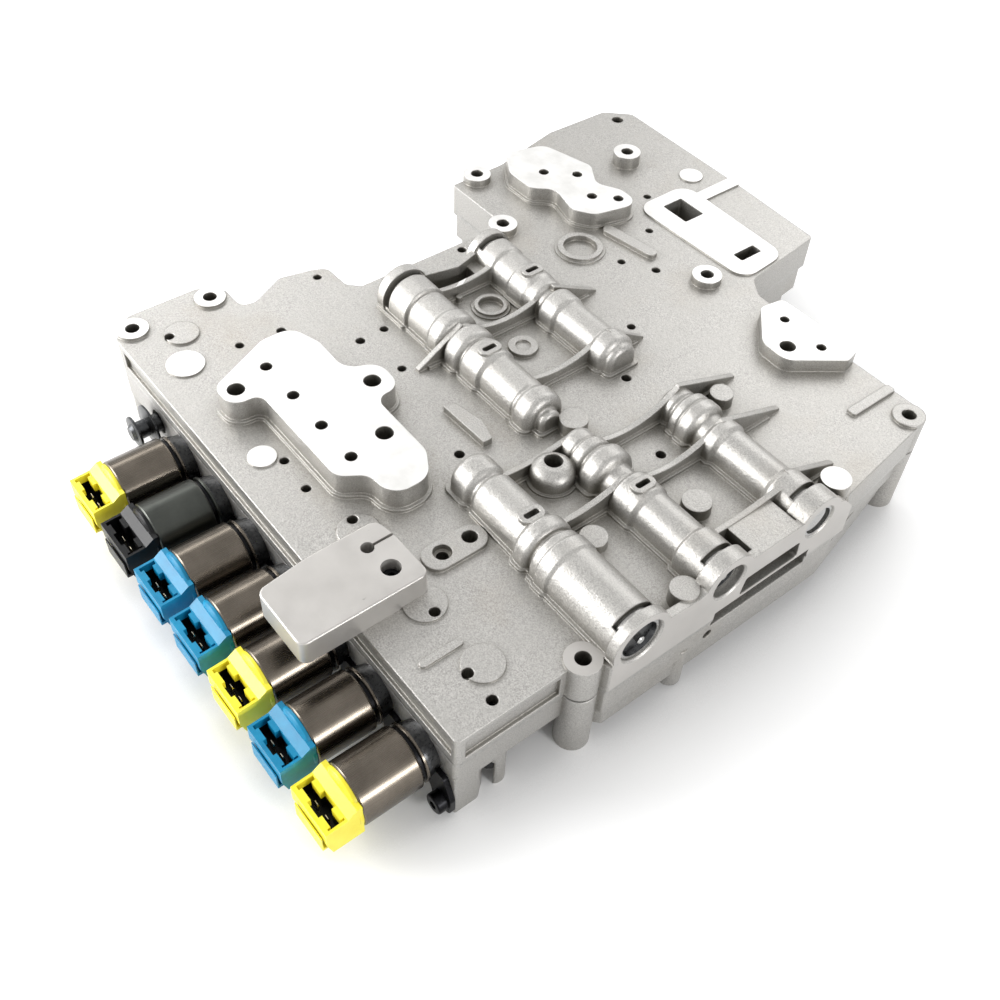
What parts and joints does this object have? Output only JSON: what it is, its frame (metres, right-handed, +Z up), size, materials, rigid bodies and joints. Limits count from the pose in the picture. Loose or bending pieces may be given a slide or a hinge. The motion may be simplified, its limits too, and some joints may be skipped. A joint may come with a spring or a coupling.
{
  "type": "transmission valve body",
  "caption": "Aluminium valve body of an automatic transmission, with spool valve bores, a row of solenoids along one edge and a selector valve.",
  "frame": {"origin": "centre of the corner mounting hole at the flat mounting face below", "axes": "+X along the solenoid row towards the wall with three bore mouths, +Y away from the solenoids, +Z up from the mounting face"},
  "size_m": [0.29, 0.3775, 0.0705],
  "materials": {
    "cast_aluminium": "die cast, matt",
    "plug_aluminium": "turned",
    "spool_aluminium": "turned and ground",
    "plate_steel": "bright stamped",
    "spring_steel": "drawn wire",
    "ball_steel": "ground",
    "dark_steel": "turned, dark",
    "can_steel": "drawn and plated",
    "black_screw": "black oxide",
    "yellow_cap": "moulded",
    "black_cap": "moulded",
    "blue_cap": "moulded",
    "terminal_brass": "tinned",
    "black_rubber": "moulded"
  },
  "bodies": {
    "housing": {"upper_casting": "cast_aluminium", "separator_plate": "plate_steel", "lower_casting": "cast_aluminium", "arm_block": "cast_aluminium", "arm_block_screw": "black_screw", "casting_bolts": "black_screw", "dowels": "plate_steel", "check_balls": "ball_steel", "spring_front_left": "spring_steel", "plug_front_left": "plug_aluminium", "retainer_front_left": "plate_steel", "spring_front_middle": "spring_steel", "plug_front_middle": "plug_aluminium", "retainer_front_middle": "plate_steel", "spring_front_right": "spring_steel", "plug_front_right": "plug_aluminium", "retainer_front_right": "plate_steel", "spring_rear_left": "spring_steel", "plug_rear_left": "plug_aluminium", "retainer_rear_left": "plate_steel", "spring_rear_right": "spring_steel", "plug_rear_right": "plug_aluminium", "retainer_rear_right": "plate_steel", "solenoid_1_can": "can_steel", "solenoid_1_cap": "yellow_cap", "solenoid_2_can": "can_steel", "solenoid_2_cap": "black_cap", "solenoid_3_can": "can_steel", "solenoid_3_cap": "blue_cap", "solenoid_4_can": "can_steel", "solenoid_4_cap": "blue_cap", "solenoid_5_can": "can_steel", "solenoid_5_cap": "yellow_cap", "solenoid_6_can": "can_steel", "solenoid_6_cap": "blue_cap", "solenoid_7_can": "can_steel", "solenoid_7_cap": "yellow_cap", "solenoid_terminals": "terminal_brass", "solenoid_o_rings": "black_rubber", "hold_down_plates": "plate_steel", "hold_down_screws": "black_screw"},
    "spool_front_left": {"spool_front_left": "spool_aluminium"},
    "spool_front_middle": {"spool_front_middle": "spool_aluminium"},
    "spool_front_right": {"spool_front_right": "spool_aluminium"},
    "spool_rear_left": {"spool_rear_left": "spool_aluminium"},
    "spool_rear_right": {"spool_rear_right": "spool_aluminium"},
    "armature_1": {"solenoid_1_armature": "dark_steel"},
    "armature_2": {"solenoid_2_armature": "dark_steel"},
    "armature_3": {"solenoid_3_armature": "dark_steel"},
    "armature_4": {"solenoid_4_armature": "dark_steel"},
    "armature_5": {"solenoid_5_armature": "dark_steel"},
    "armature_6": {"solenoid_6_armature": "dark_steel"},
    "armature_7": {"solenoid_7_armature": "dark_steel"},
    "manual_valve": {"manual_valve": "dark_steel"}
  },
  "joints": [
    {"name": "spool_front_left_slide", "type": "slide", "parent": "housing", "child": "spool_front_left", "axis": [1, 0, 0], "range_m": [0, 0.005], "stiffness_N_per_m": 600, "springref_m": -0.004, "deforming": ["spring_front_left"]},
    {"name": "spool_front_middle_slide", "type": "slide", "parent": "housing", "child": "spool_front_middle", "axis": [1, 0, 0], "range_m": [0, 0.005], "stiffness_N_per_m": 600, "springref_m": -0.004, "deforming": ["spring_front_middle"]},
    {"name": "spool_front_right_slide", "type": "slide", "parent": "housing", "child": "spool_front_right", "axis": [1, 0, 0], "range_m": [0, 0.005], "stiffness_N_per_m": 600, "springref_m": -0.004, "deforming": ["spring_front_right"]},
    {"name": "spool_rear_left_slide", "type": "slide", "parent": "housing", "child": "spool_rear_left", "axis": [-1, 0, 0], "range_m": [0, 0.005], "stiffness_N_per_m": 600, "springref_m": -0.004, "deforming": ["spring_rear_left"]},
    {"name": "spool_rear_right_slide", "type": "slide", "parent": "housing", "child": "spool_rear_right", "axis": [-1, 0, 0], "range_m": [0, 0.005], "stiffness_N_per_m": 600, "springref_m": -0.004, "deforming": ["spring_rear_right"]},
    {"name": "armature_1_slide", "type": "slide", "parent": "housing", "child": "armature_1", "axis": [0, 1, 0], "range_m": [0, 0.0015], "stiffness_N_per_m": 400, "springref_m": -0.002},
    {"name": "armature_2_slide", "type": "slide", "parent": "housing", "child": "armature_2", "axis": [0, 1, 0], "range_m": [0, 0.0015], "stiffness_N_per_m": 400, "springref_m": -0.002},
    {"name": "armature_3_slide", "type": "slide", "parent": "housing", "child": "armature_3", "axis": [0, 1, 0], "range_m": [0, 0.0015], "stiffness_N_per_m": 400, "springref_m": -0.002},
    {"name": "armature_4_slide", "type": "slide", "parent": "housing", "child": "armature_4", "axis": [0, 1, 0], "range_m": [0, 0.0015], "stiffness_N_per_m": 400, "springref_m": -0.002},
    {"name": "armature_5_slide", "type": "slide", "parent": "housing", "child": "armature_5", "axis": [0, 1, 0], "range_m": [0, 0.0015], "stiffness_N_per_m": 400, "springref_m": -0.002},
    {"name": "armature_6_slide", "type": "slide", "parent": "housing", "child": "armature_6", "axis": [0, 1, 0], "range_m": [0, 0.0015], "stiffness_N_per_m": 400, "springref_m": -0.002},
    {"name": "armature_7_slide", "type": "slide", "parent": "housing", "child": "armature_7", "axis": [0, 1, 0], "range_m": [0, 0.0015], "stiffness_N_per_m": 400, "springref_m": -0.002},
    {"name": "manual_valve_slide", "type": "slide", "parent": "housing", "child": "manual_valve", "axis": [0, -1, 0], "range_m": [0, 0.01]}
  ]
}
